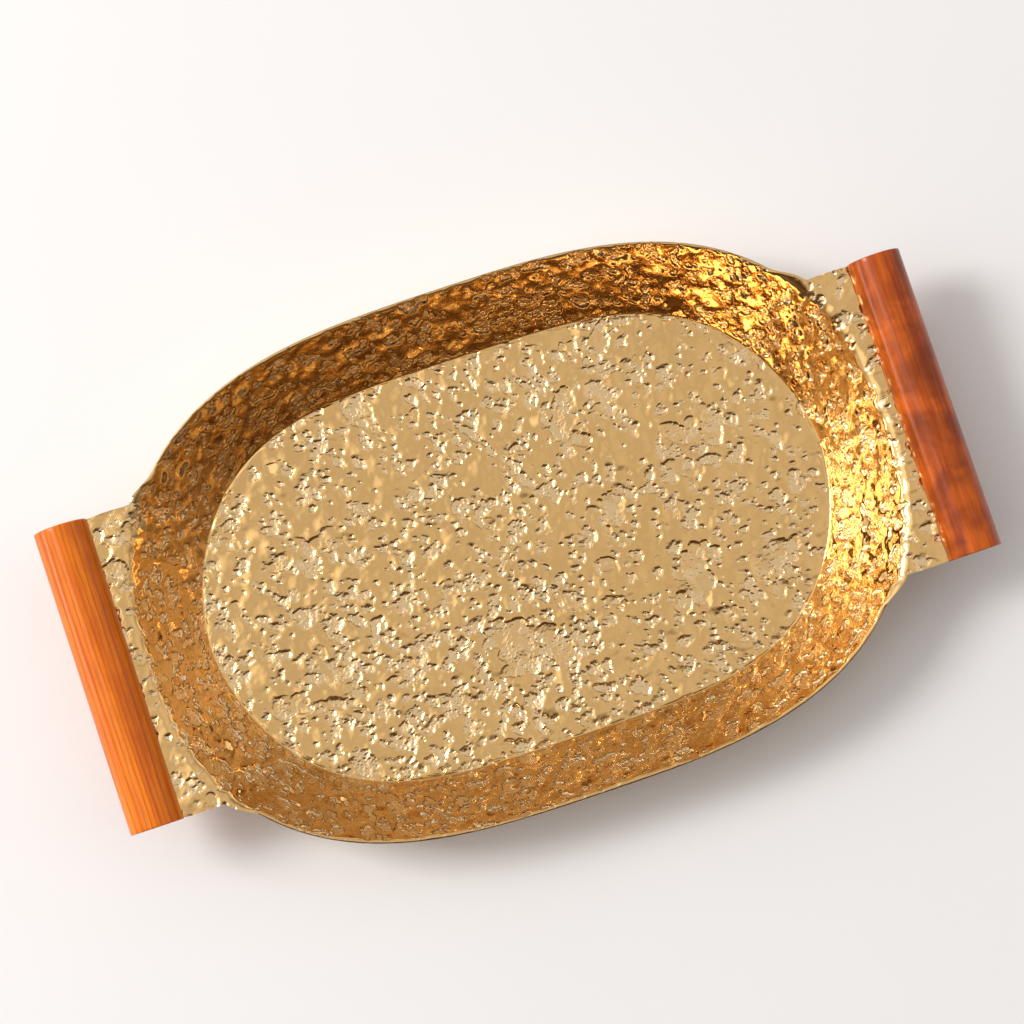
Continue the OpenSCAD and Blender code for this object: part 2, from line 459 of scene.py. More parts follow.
@dataclass
class PressedSheet:
    """The tray's one-piece brass sheet: floor, flared wall, bent lips and two ears.

    The fields that calm the relief say which share of it is taken away at the crease round
    the floor, at the bent lips and inside the dowels' slots.
    """

    relief: Relief
    rim_half_length: float = 181.5 * MM
    rim_fullness: tuple[float, float] = (3.06, 2.37)
    floor_half: tuple[float, float] = (156.5 * MM, 97.0 * MM)
    floor_fullness: tuple[float, float] = (3.9, 1.73)
    foot_bend: float = 2.0 * MM
    lip_run: float = 5.0 * MM
    lip_rise: float = 3.0 * MM
    lip_fade: float = math.radians(6.0)
    ear_root_half: float = 73.5 * MM
    ear_tip_half: float = 71.5 * MM
    ear_bow: float = 1.2 * MM
    wall_run: float = 27.0 * MM
    nominal: float = 1.0 * MM
    gauge: float = 0.6 * MM
    plain_offset: float = 1.42 * MM
    crease_calm: float = 0.85
    crease_width: float = 1.1 * MM
    rim_calm_width: float = 1.6 * MM
    lip_calm: float = 0.45
    wall_gain: float = 0.6
    slot_calm: float = 0.7
    slot_depth: float = 14.0 * MM
    slot_fade: float = 4.0 * MM
    top_step: float = 0.52 * MM
    under_step: float = 1.4 * MM
    floor_row: float = 0.8  # spacing of the floor's rings, in steps
    ear_row: float = 1.0 / 0.6  # spacing of the ears' rows, in steps
    curve_points: int = 33
    arc_points: int = 2001
    crease_angle: float = math.radians(62.0)

    def __post_init__(self) -> None:
        """Take the sheet's outer sizes from its CAD node."""
        low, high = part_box("tray_sheet")
        self.top_z = high.z - self.nominal
        self.ear_end = high.x
        self.rim = Outline(self.rim_half_length, high.y, *self.rim_fullness)
        self.floor = Outline(*self.floor_half, *self.floor_fullness)
        angle = 0.0
        for _ in range(12):
            reach = float(self.rim.radius(np.array([angle]))[0]) + self.lip_run
            angle = math.asin(self.ear_root_half / reach)
        self.root = angle

    def lip(self, angle: np.ndarray) -> np.ndarray:
        """1 along an ear, fading to 0 at the plain rim."""
        fold = np.arccos(np.clip(np.abs(np.cos(angle)), 0.0, 1.0))
        return 1.0 - smoothstep((fold - self.root) / self.lip_fade)

    def cut(self, angle: np.ndarray, rings: int) -> tuple[np.ndarray, np.ndarray]:
        """Cut the underside radially, from the floor's edge up the wall to the rim.

        Args:
            angle: Direction of each cut.
            rings: Number of equal steps along each cut.

        Returns:
            Radius and height of each step, and the length along the cut to it.
        """
        rim, foot = self.rim.radius(angle), self.floor.radius(angle)
        full, zero = self.lip(angle), np.zeros_like(angle)
        lean = self.lip_rise * (rim - foot) / self.top_z
        top = np.stack([rim - (1.0 - full) * lean, zero + self.top_z - self.lip_rise], axis=1)
        crease = np.stack([foot, zero], axis=1)
        rise = (top - crease) / np.linalg.norm(top - crease, axis=1, keepdims=True)
        foot_up = crease + self.foot_bend * rise
        floor_edge = crease - np.array([self.foot_bend, 0.0])
        lip_knee = np.stack([rim + full * lean, zero + self.top_z], axis=1)
        lip_edge = np.stack([rim + full * self.lip_run, zero + self.top_z], axis=1)
        t = np.linspace(0.0, 1.0, self.curve_points)[None, :, None]
        foot_curve = bezier(floor_edge, crease, foot_up, t)
        wall = foot_up[:, None] * (1.0 - t) + top[:, None] * t
        lip_curve = bezier(top, lip_knee, lip_edge, t)
        path = np.concatenate([foot_curve, wall[:, 1:], lip_curve[:, 1:]], axis=1)
        return even_steps(path, rings)

    def ring_angles(self, step: float) -> tuple[np.ndarray, np.ndarray]:
        """Angles round the rim, evenly spaced along it, with one at each ear's root.

        Args:
            step: Distance between neighbours along the rim.

        Returns:
            The angles, and for each arc between ear roots the number of its first angle.
        """
        corners = [-self.root, self.root, math.pi - self.root, math.pi + self.root, TAU - self.root]
        angles: list[np.ndarray] = []
        starts = [0]
        for begin, end in zip(corners[:-1], corners[1:]):
            fine = np.linspace(begin, end, self.arc_points)
            reach = self.rim.radius(fine) + self.lip(fine) * self.lip_run
            length = chain_length(np.stack([reach * np.cos(fine), reach * np.sin(fine)], axis=1))
            count = max(4, round(length[-1] / step))
            angles.append(np.interp(np.arange(count) / count * length[-1], length, fine))
            starts.append(starts[-1] + count)
        return np.concatenate(angles), np.array(starts)

    def skin(self, step: float) -> SheetSkin:
        """Lay out the sheet's underside as a fine mesh of nearly even triangles.

        Args:
            step: Distance between neighbouring vertices.

        Returns:
            The skin, with its unrolled layout and how much relief each vertex takes.
        """
        angle, starts = self.ring_angles(step)
        around = len(angle)
        slant = math.hypot(self.top_z, self.wall_run) + self.lip_run
        rings = round(slant / step)
        path, length = self.cut(angle, rings)
        flat_radius = path[:, :1, 0] + length
        wall = on_rays(path[:, :, 0], angle, path[:, :, 1]).reshape(-1, 3)
        wall_flat = on_rays(flat_radius, angle, np.zeros_like(flat_radius))[:, :, :2].reshape(-1, 2)
        calm = self.wall_calm(angle, length).ravel()
        numbers = np.arange(around * (rings + 1)).reshape(around, rings + 1)
        closed = np.concatenate([numbers, numbers[:1]])
        faces = [grid_faces(closed.T)]
        parts = [(wall, wall_flat, calm)]
        count = len(wall)
        floor, floor_faces = self.floor_mesh(numbers[:, 0], wall[numbers[:, 0]], count, step)
        parts.append((floor, floor[:, :2], np.ones(len(floor))))
        faces.append(floor_faces)
        count += len(floor)
        loop: list[np.ndarray] = []
        for side in range(2):
            first, last = starts[2 * side], starts[2 * side + 1]
            columns = numbers[first:last + 1, -1]
            ear, ear_flat, grid = self.ear_mesh(columns, wall, wall_flat, count, step)
            in_slot = smoothstep((np.abs(ear[:, 0]) - self.ear_end + self.slot_depth) / self.slot_fade)
            parts.append((ear, ear_flat, 1.0 - self.slot_calm * in_slot))
            faces.append(grid_faces(grid))
            count += len(ear)
            loop += [grid[1:, 0], grid[-1, 1:], grid[-2:0:-1, -1]]
            stop = starts[2 * side + 2]
            loop.append(numbers[np.arange(last, stop + 1) % around, -1])
        points, flat, shares = (np.concatenate([part[k] for part in parts]) for k in range(3))
        return SheetSkin(points, flat, shares, np.concatenate(faces), np.concatenate(loop))

    def wall_calm(self, angle: np.ndarray, length: np.ndarray) -> np.ndarray:
        """Share of the relief over the wall, more on its slope and less at crease and rim.

        Args:
            angle: Direction of each cut through the wall.
            length: Length along each cut to every point of it.

        Returns:
            Share at every point, one row for each cut.
        """
        along = length - self.foot_bend
        crease = 1.0 - self.crease_calm * np.exp(-((along / self.crease_width) ** 2))
        left = length[:, -1:] - length
        full = self.lip(angle)[:, None]
        plain_rim = smoothstep(left / self.rim_calm_width)
        from_bend = (left - 0.5 * self.lip_run) / (0.6 * self.lip_run)
        bent_lip = 1.0 - self.lip_calm * np.exp(-(from_bend**2))
        sunk = 1.0 + self.wall_gain * smoothstep(along / self.lip_run)
        return sunk * crease * (full * bent_lip + (1.0 - full) * plain_rim)

    def floor_mesh(self, edge: np.ndarray, edge_points: np.ndarray, first: int,
                   step: float) -> tuple[np.ndarray, np.ndarray]:
        """Fill the floor with rings that lose vertices towards the middle.

        Args:
            edge: Vertex numbers of the wall's lowest ring.
            edge_points: Places of those vertices.
            first: Number that the floor's first vertex gets.
            step: Distance between neighbouring vertices.

        Returns:
            The floor's own vertices and its triangles.
        """
        rings = round(self.floor_half[1] / (self.floor_row * step))
        closed = np.concatenate([edge_points, edge_points[:1]])
        length = chain_length(closed[:, :2])
        points: list[np.ndarray] = []
        faces: list[np.ndarray] = []
        outer = edge
        for k in range(1, rings):
            share = 1.0 - k / rings
            count = max(6, round(len(edge) * share))
            along = np.arange(count) / count * length[-1]
            ring = np.stack([np.interp(along, length, closed[:, axis]) for axis in range(3)], axis=1)
            inner = first + np.arange(count)
            points.append(ring * [share, share, 1.0])
            faces.append(zip_loops(even_loop(outer), even_loop(inner)))
            outer = inner
            first += count
        points.append(np.zeros((1, 3)))
        faces.append(np.stack([outer, np.roll(outer, -1), np.full(len(outer), first)], axis=1))
        return np.concatenate(points), np.concatenate(faces)

    def ear_mesh(self, columns: np.ndarray, wall: np.ndarray, wall_flat: np.ndarray, first: int,
                 step: float) -> tuple[np.ndarray, np.ndarray, np.ndarray]:
        """Lay a flat ear between the bent lip and its straight end.

        Args:
            columns: Vertex numbers of the lip's outer edge along the ear.
            wall: Places of the wall's vertices.
            wall_flat: The same on the unrolled sheet.
            first: Number that the ear's first own vertex gets.
            step: Distance between neighbouring vertices.

        Returns:
            The ear's own vertices, their unrolled places and its grid of vertex numbers.
        """
        root = wall[columns]
        side = np.sign(root[0, 0])
        share_y = root[:, 1] / self.ear_root_half
        rows = round((self.ear_end - abs(root[0, 0])) / (self.ear_row * step))
        end_x = np.full(len(root), side * self.ear_end)
        end = np.stack([end_x, share_y * self.ear_tip_half, root[:, 2]], axis=1)
        t = (np.arange(1, rows + 1) / rows)[:, None, None]
        points = root[None] * (1.0 - t) + end[None] * t
        points[..., 1] += 4.0 * self.ear_bow * (t * (1.0 - t))[..., 0] * share_y[None]
        flat = wall_flat[columns][None] + (points - root[None])[..., :2]
        own = first + np.arange(rows * len(columns)).reshape(rows, len(columns))
        grid = np.concatenate([columns[None], own])
        return points.reshape(-1, 3), flat.reshape(-1, 2), grid

    def raised(self, skin: SheetSkin, under: bool) -> tuple[np.ndarray, np.ndarray, np.ndarray]:
        """Lift a skin off the CAD underside by the sheet's thickness and its relief.

        Args:
            skin: The nominal underside.
            under: Whether this is the underside of the real sheet.

        Returns:
            The lifted vertices, and from 0 to 1 how deep in a pit each one is and how
            near a pit's steep brink.
        """
        normals = vertex_normals(skin.points, skin.faces)
        height = self.relief.sample(self.relief.height, skin.flat) * skin.calm
        maps = (self.relief.pit, self.relief.brink)
        pit, brink = (self.relief.sample(values, skin.flat) * skin.calm for values in maps)
        plain = self.gauge + (self.plain_offset - self.gauge) * np.sqrt(np.minimum(skin.calm, 1.0))
        lift = np.maximum(plain + height, self.gauge)
        if under:
            lift = lift - self.gauge
        return skin.points + normals * lift[:, None], pit, brink

    def build(self) -> bpy.types.Object:
        """Make the embossed sheet as one closed mesh, with its pits marked for the finish.

        Returns:
            The sheet.
        """
        top, under = self.skin(self.top_step), self.skin(self.under_step)
        top_points, *top_marks = self.raised(top, under=False)
        under_points, *under_marks = self.raised(under, under=True)
        shift = len(top_points)
        below, shares = loop_by_length(under)
        edge = zip_loops(loop_by_length(top), (below + shift, shares))
        faces = np.concatenate([top.faces, under.faces[:, ::-1] + shift, edge[:, ::-1]])
        points = np.concatenate([top_points, under_points])
        piece = build_mesh("embossed_tray", points, faces, self.crease_angle)
        for name, upper, lower in zip(("pit", "brink"), top_marks, under_marks):
            set_attribute(piece, name, np.concatenate([upper, lower]))
        set_attribute(piece, "underside", np.repeat([0.0, 1.0], [shift, len(under_points)]))
        return piece


def bezier(a: np.ndarray, b: np.ndarray, c: np.ndarray, t: np.ndarray) -> np.ndarray:
    """Points on a row of quadratic curves, one curve for each start, knee and end."""
    return a[:, None] * (1 - t) ** 2 + b[:, None] * 2 * t * (1 - t) + c[:, None] * t**2


def chain_length(points: np.ndarray) -> np.ndarray:
    """Length along a chain of points up to each of them."""
    steps = np.linalg.norm(np.diff(points, axis=0), axis=1)
    return np.concatenate([[0.0], np.cumsum(steps)])


def even_steps(path: np.ndarray, rings: int) -> tuple[np.ndarray, np.ndarray]:
    """Resample every path at equal steps of its own length.

    Args:
        path: Paths as (path, point, coordinate).
        rings: Number of steps.

    Returns:
        The resampled paths and the length along each to every point.
    """
    steps = np.linalg.norm(np.diff(path, axis=1), axis=2)
    length = np.concatenate([np.zeros((len(path), 1)), np.cumsum(steps, axis=1)], axis=1)
    wanted = length[:, -1:] * np.linspace(0.0, 1.0, rings + 1)[None]
    made = np.stack([
        np.stack([np.interp(w, s, p[:, axis]) for w, s, p in zip(wanted, length, path)])
        for axis in range(path.shape[2])
    ], axis=2)
    return made, wanted


def on_rays(radius: np.ndarray, angle: np.ndarray, z: np.ndarray) -> np.ndarray:
    """Points at radii and heights along rays from the middle."""
    return np.stack([radius * np.cos(angle)[:, None], radius * np.sin(angle)[:, None], z], axis=2)


def loop_by_length(skin: SheetSkin) -> Loop:
    """The skin's outer loop, with each vertex's share of the way round it.

    Args:
        skin: The skin.

    Returns:
        Vertex numbers of the loop and their shares.
    """
    ring = skin.points[np.append(skin.loop, skin.loop[0])]
    length = chain_length(ring)
    return skin.loop, length[:-1] / length[-1]


# ---------------------------------------------------------------- finish


class NodeSheet:
    """A short way to write a shader node tree."""

    def __init__(self, tree: bpy.types.NodeTree) -> None:
        """Keep the tree that nodes are added to."""
        self.tree = tree

    def add(self, kind: str, inputs: dict[str, object] | None = None,
            **settings: object) -> bpy.types.Node:
        """Add one node.

        Args:
            kind: Node type without the ShaderNode prefix.
            inputs: Value or source socket for each named input.
            **settings: Properties of the node itself.

        Returns:
            The new node.
        """
        node = self.tree.nodes.new("ShaderNode" + kind)
        for name, value in settings.items():
            setattr(node, name, value)
        self.feed(node, inputs or {})
        return node

    def feed(self, node: bpy.types.Node, inputs: dict[str, object]) -> None:
        """Set or link a node's inputs, each by its name or its number.

        Args:
            node: The node.
            inputs: Value or source socket for each input.
        """
        for name, value in inputs.items():
            socket = node.inputs[int(name)] if name.isdigit() else node.inputs[name]
            if isinstance(value, bpy.types.NodeSocket):
                self.tree.links.new(value, socket)
            else:
                socket.default_value = value

    def math(self, operation: str, a: object, b: object = 0.0,
             clamp: bool = False) -> bpy.types.NodeSocket:
        """Combine two numbers."""
        node = self.add("Math", {"0": a, "1": b}, operation=operation, use_clamp=clamp)
        return node.outputs[0]

    def span(self, value: object, low: float, high: float, to_low: float = 0.0,
             to_high: float = 1.0) -> bpy.types.NodeSocket:
        """Map one range of a number smoothly onto another.

        Args:
            value: The number.
            low: Start of its range.
            high: End of its range.
            to_low: Result at the start.
            to_high: Result at the end.

        Returns:
            The mapped number.
        """
        ends = {"From Min": low, "From Max": high, "To Min": to_low, "To Max": to_high}
        node = self.add("MapRange", {"Value": value, **ends}, interpolation_type="SMOOTHSTEP")
        return node.outputs["Result"]

    def mix(self, factor: object, a: object, b: object, blend: str = "MIX") -> bpy.types.NodeSocket:
        """Blend two colours.

        Args:
            factor: Share of the second colour.
            a: First colour.
            b: Second colour.
            blend: How the second colour is laid over the first.

        Returns:
            The blended colour.
        """
        node = self.add("Mix", data_type="RGBA", blend_type=blend)
        for index, value in ((0, factor), (6, a), (7, b)):
            if isinstance(value, bpy.types.NodeSocket):
                self.tree.links.new(value, node.inputs[index])
            elif index:
                node.inputs[index].default_value = (*value, 1.0)
            else:
                node.inputs[index].default_value = value
        return node.outputs[2]

    def attribute(self, name: str) -> bpy.types.NodeSocket:
        """Read a number stored at the mesh's vertices."""
        return self.add("Attribute", attribute_name=name, attribute_type="GEOMETRY").outputs["Fac"]


def new_material(name: str) -> tuple[bpy.types.Material, NodeSheet, bpy.types.Node]:
    """Start a material and return it with its node sheet and its shader.

    Args:
        name: The material's name.

    Returns:
        The material, its node sheet and its Principled shader.
    """
    material = bpy.data.materials.new(name)
    material.use_nodes = True
    tree = material.node_tree
    return material, NodeSheet(tree), tree.nodes["Principled BSDF"]


@dataclass(frozen=True)
class SharedEffects:
    """Node groups that more than one finish uses."""

    smudges: bpy.types.NodeTree
    edge_wear: bpy.types.NodeTree
    fine_dents: bpy.types.NodeTree


def group_sheet(name: str, numbers: dict[str, float], outputs: Sequence[str]) -> tuple[NodeSheet, dict]:
    """Start a shader node group.

    Args:
        name: The group's name.
        numbers: Default of each numeric input.
        outputs: Names of the numeric outputs.

    Returns:
        The group's node sheet, and its input sockets by name.
    """
    tree = bpy.data.node_groups.new(name, "ShaderNodeTree")
    tree.interface.new_socket("Vector", in_out="INPUT", socket_type="NodeSocketVector")
    for key, value in numbers.items():
        socket = tree.interface.new_socket(key, in_out="INPUT", socket_type="NodeSocketFloat")
        socket.default_value = value
    for key in outputs:
        tree.interface.new_socket(key, in_out="OUTPUT", socket_type="NodeSocketFloat")
    entry = tree.nodes.new("NodeGroupInput")
    return NodeSheet(tree), {s.name: s for s in entry.outputs}


def close_group(sheet: NodeSheet, **outputs: bpy.types.NodeSocket) -> bpy.types.NodeTree:
    """Wire a group's results to its output sockets.

    Args:
        sheet: The group's node sheet.
        **outputs: Result for each output, by name.

    Returns:
        The finished group.
    """
    leave = sheet.tree.nodes.new("NodeGroupOutput")
    for name, socket in outputs.items():
        sheet.tree.links.new(socket, leave.inputs[name.replace("_", " ")])
    return sheet.tree


def make_smudges() -> bpy.types.NodeTree:
    """Faint patches where hands and cloths have dulled a polished surface.

    Returns:
        The node group.
    """
    sheet, given = group_sheet("Smudges", {"Scale": 18.0, "Amount": 0.5}, ["Mask"])
    broad = sheet.add("TexNoise", {"Vector": given["Vector"], "Scale": given["Scale"], "Detail": 4.0,
                                   "Roughness": 0.55, "Distortion": 0.8})
    finer = sheet.math("MULTIPLY", given["Scale"], 6.0)
    streaks = sheet.add("TexNoise", {"Vector": given["Vector"], "Scale": finer, "Detail": 3.0})
    both = sheet.math("MULTIPLY", sheet.span(broad.outputs["Fac"], 0.45, 0.72),
                      sheet.span(streaks.outputs["Fac"], 0.3, 0.7, 0.4, 1.0))
    return close_group(sheet, Mask=sheet.math("MULTIPLY", both, given["Amount"], clamp=True))


def make_edge_wear() -> bpy.types.NodeTree:
    """Broken-up wear along edges, from a number that is 1 on the edge and 0 away from it.

    Returns:
        The node group.
    """
    sheet, given = group_sheet("Edge wear", {"Edge": 0.0, "Scale": 120.0, "Amount": 1.0}, ["Mask"])
    chips = sheet.add("TexNoise", {"Vector": given["Vector"], "Scale": given["Scale"], "Detail": 5.0,
                                   "Roughness": 0.65})
    reach = sheet.math("ADD", given["Edge"], sheet.span(chips.outputs["Fac"], 0.35, 0.7, -0.45, 0.25))
    worn = sheet.span(reach, 0.45, 0.8)
    return close_group(sheet, Mask=sheet.math("MULTIPLY", worn, given["Amount"], clamp=True))


def make_fine_dents() -> bpy.types.NodeTree:
    """Tiny dents and crumpling, as a height for a bump.

    Returns:
        The node group.
    """
    sheet, given = group_sheet("Fine dents", {"Scale": 500.0, "Depth": 1.0}, ["Height"])
    cells = sheet.add("TexVoronoi", {"Vector": given["Vector"], "Scale": given["Scale"], "Randomness": 1.0})
    dents = sheet.span(cells.outputs["Distance"], 0.05, 0.5)
    finer = sheet.math("MULTIPLY", given["Scale"], 1.7)
    crumple = sheet.add("TexNoise", {"Vector": given["Vector"], "Scale": finer, "Detail": 2.0})
    both = sheet.math("ADD", sheet.math("MULTIPLY", dents, 0.6),
                      sheet.math("MULTIPLY", crumple.outputs["Fac"], 0.8))
    return close_group(sheet, Height=sheet.math("MULTIPLY", both, given["Depth"]))


@dataclass(frozen=True)
class PolishedBrass:
    """Bright lacquered brass, with a painted highlight that pales its pits, painted shade that browns their
    brinks, and duller underneath.
    """

    colour: Colour = (0.87, 0.53, 0.20)
    # The paler pit colour is a painted highlight that whitens the glints in the pits.
    pit_highlight_colour: Colour = (0.93, 0.70, 0.42)
    # The brown brink colour is painted shade that stands for the dark surroundings reflected in the pits'
    # steep brinks.
    brink_shade_colour: Colour = (0.30, 0.14, 0.035)
    dull_colour: Colour = (0.72, 0.50, 0.25)
    patch_tone: float = 0.93
    pit_highlight_share: float = 0.55
    brink_shade_share: float = 0.75
    dull_share: float = 0.7
    roughness: float = 0.045
    pit_roughness: float = 0.10
    smudge_roughness: float = 0.10
    under_roughness: float = 0.28
    lacquer: float = 0.15
    lacquer_roughness: float = 0.05
    dent_height: float = 0.5 * MM

    def make(self, shared: SharedEffects) -> bpy.types.Material:
        """Build the brass material.

        Args:
            shared: Node groups that the finishes share.

        Returns:
            The material.
        """
        material, sheet, shader = new_material("polished_brass")
        place = sheet.add("TexCoord").outputs["Object"]
        pit, below = sheet.attribute("pit"), sheet.attribute("underside")
        tone = sheet.add("TexNoise", {"Vector": place, "Scale": 22.0, "Detail": 3.0}).outputs["Fac"]
        patch = tuple(self.patch_tone * c for c in self.colour)
        warm = sheet.mix(sheet.span(tone, 0.35, 0.65, 0.0, 0.5), self.colour, patch)
        # The pits are paled by the pit mask: a painted highlight that whitens their glints.
        pit_highlights = sheet.mix(sheet.math("MULTIPLY", pit, self.pit_highlight_share), warm, self.pit_highlight_colour)
        # The steep brinks of the pits are darkened to brown as painted shade, standing for the dark
        # surroundings they reflect.
        brink = sheet.span(sheet.attribute("brink"), 0.35, 0.95, 0.0, self.brink_shade_share)
        brink_shaded = sheet.mix(brink, pit_highlights, self.brink_shade_colour)
        colour = sheet.mix(sheet.math("MULTIPLY", below, self.dull_share), brink_shaded, self.dull_colour)
        smudge = sheet.add("Group", {"Vector": place, "Scale": 14.0, "Amount": 0.8}, node_tree=shared.smudges)
        smeared = sheet.math("MULTIPLY", smudge.outputs["Mask"], self.smudge_roughness)
        rough = sheet.math("ADD", self.roughness, smeared)
        rough = sheet.math("ADD", rough, sheet.math("MULTIPLY", pit, self.pit_roughness - self.roughness))
        rough = sheet.math("MAXIMUM", rough, sheet.math("MULTIPLY", below, self.under_roughness))
        dents = sheet.add("Group", {"Vector": place, "Scale": 420.0, "Depth": 1.0},
                          node_tree=shared.fine_dents)
        strength = sheet.math("ADD", 0.02, sheet.math("MULTIPLY", pit, 0.35))
        lift = sheet.math("MULTIPLY", dents.outputs["Height"], strength)
        bump = sheet.add("Bump", {"Height": lift, "Strength": 1.0, "Distance": self.dent_height})
        sheet.feed(shader, {"Base Color": colour, "Metallic": 1.0, "Roughness": rough,
                            "Coat Weight": self.lacquer, "Coat Roughness": self.lacquer_roughness,
                            "Normal": bump.outputs["Normal"]})
        return material


class Figure(Enum):
    """How a dowel's grain shows."""

    STRAIGHT = "straight"
    MOTTLED = "mottled"

    def shares(self) -> tuple[float, float]:
        """How strongly late rings and mottling darken the wood."""
        return (0.45, 0.15) if self is Figure.STRAIGHT else (0.12, 0.65)


@dataclass(frozen=True)
class StainedWood:
    """Stained hardwood under a satin varnish, with grain that runs through the whole rod."""

    name: str
    light: Colour
    middle: Colour
    dark: Colour
    figure: Figure
    offset: float
    pith: tuple[float, float] = (0.030, -0.045)
    ring: float = 2.6 * MM
    sway: float = 6.0 * MM
    fibre_share: float = 0.30
    worn_tone: float = 1.5
    roughness: float = 0.34
    varnish_ior: float = 1.36
    varnish_roughness: float = 0.2
    pore_depth: float = 0.3 * MM

    def make(self, shared: SharedEffects) -> bpy.types.Material:
        """Build the wood material; the grain runs along Y.

        Args:
            shared: Node groups that the finishes share.

        Returns:
            The material.
        """
        material, sheet, shader = new_material(self.name)
        place = sheet.add("TexCoord").outputs["Object"]
        shift = (self.pith[0], self.offset, self.pith[1])
        wood = sheet.add("Mapping", {"Vector": place, "Location": shift}).outputs["Vector"]
        drawn = sheet.add("Mapping", {"Vector": wood, "Scale": (1.0, 0.06, 1.0)}).outputs["Vector"]
        late = self.late_rings(sheet, wood, drawn)
        fibre = sheet.add("TexNoise", {"Vector": drawn, "Scale": 900.0, "Detail": 4.0, "Roughness": 0.7})
        fibres = sheet.span(fibre.outputs["Fac"], 0.35, 0.7)
        streak = sheet.add("TexNoise", {"Vector": drawn, "Scale": 170.0, "Detail": 3.0}).outputs["Fac"]
        mottle = sheet.add("TexNoise", {"Vector": wood, "Scale": 55.0, "Detail": 3.0, "Distortion": 0.6})
        cloud = sheet.span(mottle.outputs["Fac"], 0.35, 0.68)
        ring_share, cloud_share = self.figure.shares()
        base = sheet.mix(sheet.span(streak, 0.38, 0.66), self.light, self.middle)
        ringed = sheet.mix(sheet.math("MULTIPLY", late, ring_share), base, self.dark)
        clouded = sheet.mix(sheet.math("MULTIPLY", cloud, cloud_share), ringed, self.dark)
        shaded = sheet.math("MULTIPLY", fibres, self.fibre_share)
        fine = sheet.mix(shaded, clouded, self.dark, blend="MULTIPLY")
        worn = sheet.add("Group", {"Vector": place, "Edge": sheet.attribute("edge"), "Amount": 0.6},
                         node_tree=shared.edge_wear)
        bare = tuple(min(1.0, self.worn_tone * c) for c in self.light)
        colour = sheet.mix(worn.outputs["Mask"], fine, bare)
        smudge = sheet.add("Group", {"Vector": place, "Scale": 40.0, "Amount": 0.7}, node_tree=shared.smudges)
        rough = sheet.math("ADD", self.roughness, sheet.math("MULTIPLY", smudge.outputs["Mask"], 0.15))
        rough = sheet.math("ADD", rough, sheet.math("MULTIPLY", fibres, 0.08))
        pores = sheet.math("MULTIPLY", fibres, -1.0)
        bump = sheet.add("Bump", {"Height": pores, "Strength": 0.12, "Distance": self.pore_depth})
        sheet.feed(shader, {"Base Color": colour, "Roughness": rough, "Specular IOR Level": 0.0,
                            "Coat Weight": 1.0, "Coat IOR": self.varnish_ior,
                            "Coat Roughness": self.varnish_roughness, "Normal": bump.outputs["Normal"]})
        return material

    def late_rings(self, sheet: NodeSheet, wood: bpy.types.NodeSocket,
                   drawn: bpy.types.NodeSocket) -> bpy.types.NodeSocket:
        """Mark the dark late wood of the year rings round the pith.

        Args:
            sheet: The material's node sheet.
            wood: Places measured from the pith.
            drawn: The same, drawn out along the grain.

        Returns:
            A number that rises to 1 through each ring.
        """
        sway = sheet.add("TexNoise", {"Vector": drawn, "Scale": 60.0, "Detail": 3.0, "Roughness": 0.6})
        parts = sheet.add("SeparateXYZ", {"Vector": wood})
        flat = sheet.add("CombineXYZ", {"X": parts.outputs["X"], "Y": 0.0, "Z": parts.outputs["Z"]})
        radius = sheet.add("VectorMath", {"0": flat.outputs["Vector"]}, operation="LENGTH").outputs["Value"]
        bent = sheet.math("ADD", radius, sheet.math("MULTIPLY", sway.outputs["Fac"], self.sway))
        rings = sheet.math("FRACT", sheet.math("DIVIDE", bent, self.ring))
        return sheet.span(rings, 0.45, 0.95)


@dataclass(frozen=True)
class ZincPlate:
    """Zinc-plated steel of the screws, slightly cloudy."""

    colour: Colour = (0.66, 0.66, 0.64)
    cloud: Colour = (0.48, 0.48, 0.49)
    roughness: float = 0.30
    cloud_roughness: float = 0.2
    dent_height: float = 0.1 * MM

    def make(self, shared: SharedEffects) -> bpy.types.Material:
        """Build the zinc material.

        Args:
            shared: Node groups that the finishes share.

        Returns:
            The material.
        """
        material, sheet, shader = new_material("zinc_plate")
        place = sheet.add("TexCoord").outputs["Object"]
        smudge = sheet.add("Group", {"Vector": place, "Scale": 400.0, "Amount": 1.0},
                           node_tree=shared.smudges)
        mask = smudge.outputs["Mask"]
        colour = sheet.mix(mask, self.colour, self.cloud)
        rough = sheet.math("ADD", self.roughness, sheet.math("MULTIPLY", mask, self.cloud_roughness))
        dents = sheet.add("Group", {"Vector": place, "Scale": 2500.0, "Depth": 0.4},
                          node_tree=shared.fine_dents)
        bump = sheet.add("Bump", {"Height": dents.outputs["Height"], "Strength": 0.2,
                                  "Distance": self.dent_height})
        sheet.feed(shader, {"Base Color": colour, "Metallic": 1.0, "Roughness": rough,
                            "Normal": bump.outputs["Normal"]})
        return material


# ---------------------------------------------------------------- handles and screws


@dataclass(frozen=True)
class ScrewSizes:
    """Sizes that the screws and their holes share."""

    shank: float = 2.0 * MM
    thread_room: float = 0.05 * MM
    counterbore: float = 4.75 * MM
    end_room: float = 0.5 * MM
    head_height: float = 2.4 * MM
    pitch: float = 1.8 * MM
    thread_depth: float = 0.55 * MM
    plain_shank: float = 1.2 * MM
    thread_start: float = 1.5 * MM
    head_corner: float = 0.55  # of the head's height
    head_crown: float = 0.1 * MM
    point: float = 3.0 * MM
    recess_span: float = 4.2 * MM
    recess_arm: float = 1.0 * MM
    recess_depth: float = 1.5 * MM


def ring(radius: float | np.ndarray, z: float, angle: np.ndarray) -> np.ndarray:
    """Ring of points about the Z axis."""
    return np.stack([radius * np.cos(angle), radius * np.sin(angle), np.full(len(angle), z)], axis=1)


